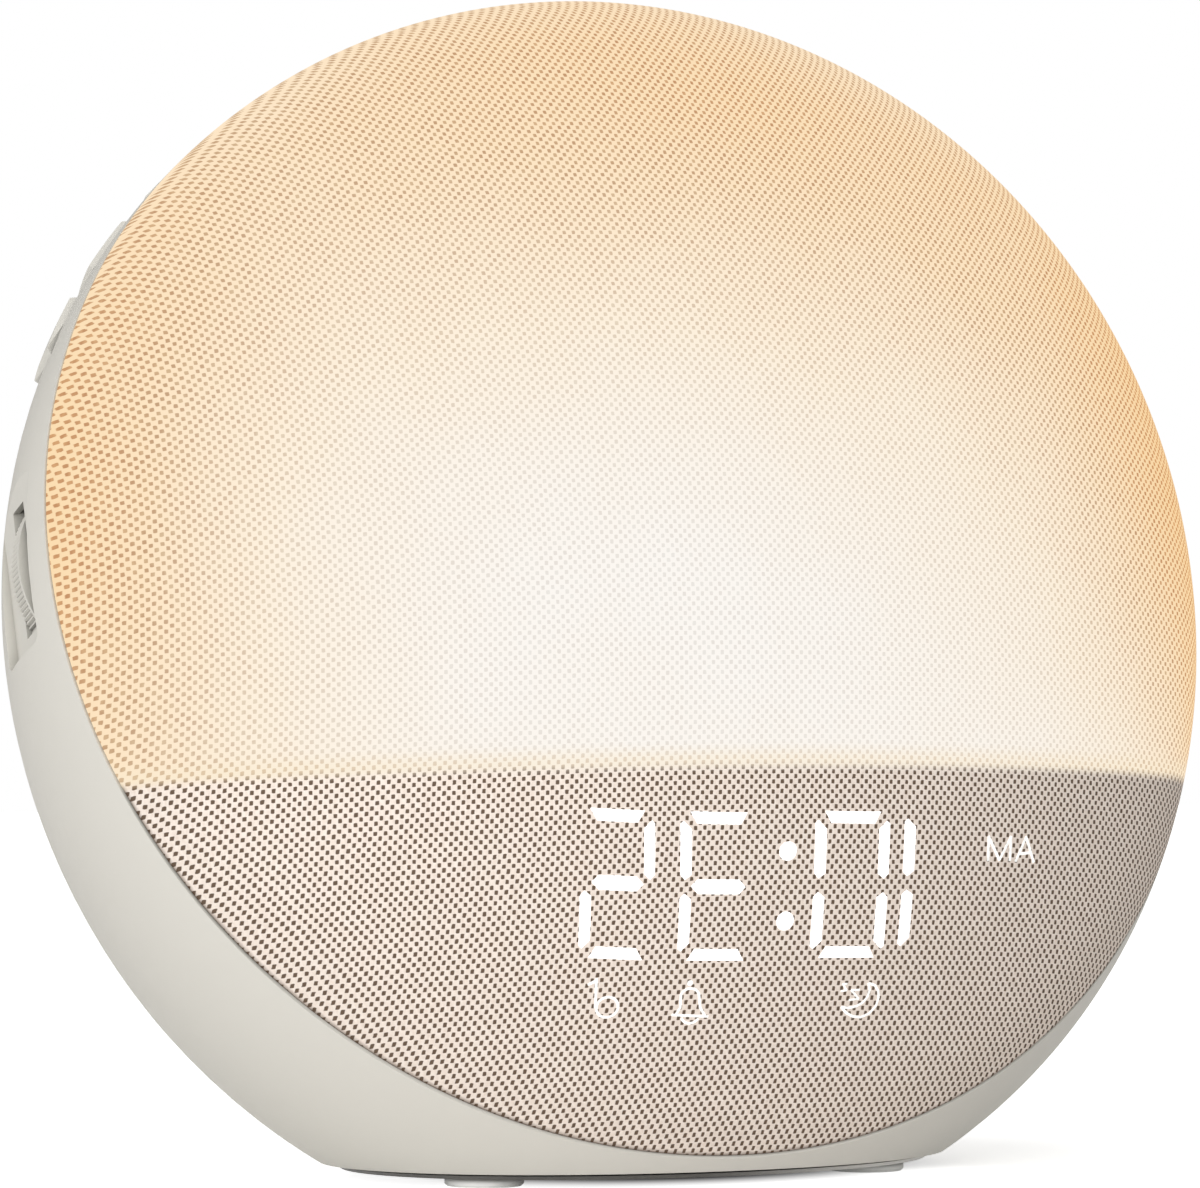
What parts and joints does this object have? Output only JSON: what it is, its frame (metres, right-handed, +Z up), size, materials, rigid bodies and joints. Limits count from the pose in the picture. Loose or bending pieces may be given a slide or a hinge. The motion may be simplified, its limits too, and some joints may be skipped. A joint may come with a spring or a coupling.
{
  "type": "sunrise alarm clock",
  "caption": "Round leaning bedside light and alarm clock: fabric-covered light dome with a clock display behind the fabric, three side buttons and a thumbwheel.",
  "frame": {"origin": "on the ground, under the centre of the overall box", "axes": "+Z up, the lit fabric faces -Y, +X to the right seen from the front; the buttons and the wheel are on the -X side"},
  "size_m": [0.1648, 0.1048, 0.1539],
  "materials": {
    "fabric": "open linen weave, lit from behind",
    "diffuser": "translucent milky",
    "frame_plastic": "moulded",
    "white_plastic": "moulded",
    "white_board": "solder mask",
    "led": "phosphor",
    "mask_film": "printed film",
    "segment": "translucent",
    "board": "solder mask",
    "chip": "moulded",
    "housing": "fine matt texture",
    "base": "fine matt texture",
    "foot_rubber": "matt",
    "screw": "zinc plated",
    "button": "fine matt texture",
    "plunger": "moulded",
    "switch": "stamped",
    "shaft": "turned",
    "speaker_metal": "pressed steel",
    "cone_paper": "pressed",
    "surround": "matt",
    "magnet": "ferrite",
    "gasket": "foam",
    "capacitor": "sleeved",
    "socket_plastic": "moulded",
    "cell_steel": "nickel plated"
  },
  "bodies": {
    "clock": {"fabric_cover": "fabric", "diffuser_dome": "diffuser", "dome_rim": "diffuser", "mid_frame": "frame_plastic", "light_divider": "white_plastic", "reflector_sheet": "white_plastic", "led_board": "white_board", "led_chips": "led", "display_mask": "mask_film", "display_lightbox": "white_plastic", "display_segments": "segment", "display_icons": "segment", "display_board": "board", "segment_leds": "led", "display_driver": "chip", "rear_housing": "housing", "base_cover": "base", "rubber_feet": "foot_rubber", "housing_screws": "screw", "base_screws": "screw", "button_switches": "switch", "button_board": "board", "button_bracket": "frame_plastic", "wheel_encoder": "chip", "wheel_board": "board", "wheel_bracket": "frame_plastic", "speaker_basket": "speaker_metal", "speaker_cone": "cone_paper", "speaker_surround": "surround", "speaker_magnet": "magnet", "speaker_gasket": "gasket", "speaker_screws": "screw", "main_board": "board", "board_chips": "chip", "capacitors": "capacitor", "power_socket": "socket_plastic", "cell_holder": "socket_plastic", "coin_cell": "cell_steel", "board_screws": "screw", "bracket_screws": "screw", "display_screws": "screw", "lamp_board_screws": "screw"},
    "button_upper": {"button_upper": "button", "plunger_upper": "plunger"},
    "button_middle": {"button_middle": "button", "plunger_middle": "plunger"},
    "button_lower": {"button_lower": "button", "plunger_lower": "plunger"},
    "thumbwheel": {"thumbwheel": "button", "wheel_shaft": "shaft"}
  },
  "joints": [
    {"name": "press_upper", "type": "slide", "parent": "clock", "child": "button_upper", "axis": [0.7923, -0.2127, -0.5719], "range_m": [0, 0.0005], "stiffness_N_per_m": 300, "springref_m": -0.0004},
    {"name": "press_middle", "type": "slide", "parent": "clock", "child": "button_middle", "axis": [0.7923, -0.2127, -0.5719], "range_m": [0, 0.0005], "stiffness_N_per_m": 300, "springref_m": -0.0004},
    {"name": "press_lower", "type": "slide", "parent": "clock", "child": "button_lower", "axis": [0.7923, -0.2127, -0.5719], "range_m": [0, 0.0005], "stiffness_N_per_m": 300, "springref_m": -0.0004},
    {"name": "wheel_turn", "type": "hinge", "parent": "clock", "child": "thumbwheel", "pos_m": [-0.067, 0.00206, 0.07668], "axis": [0, -0.9373, 0.3486], "continuous": true}
  ]
}
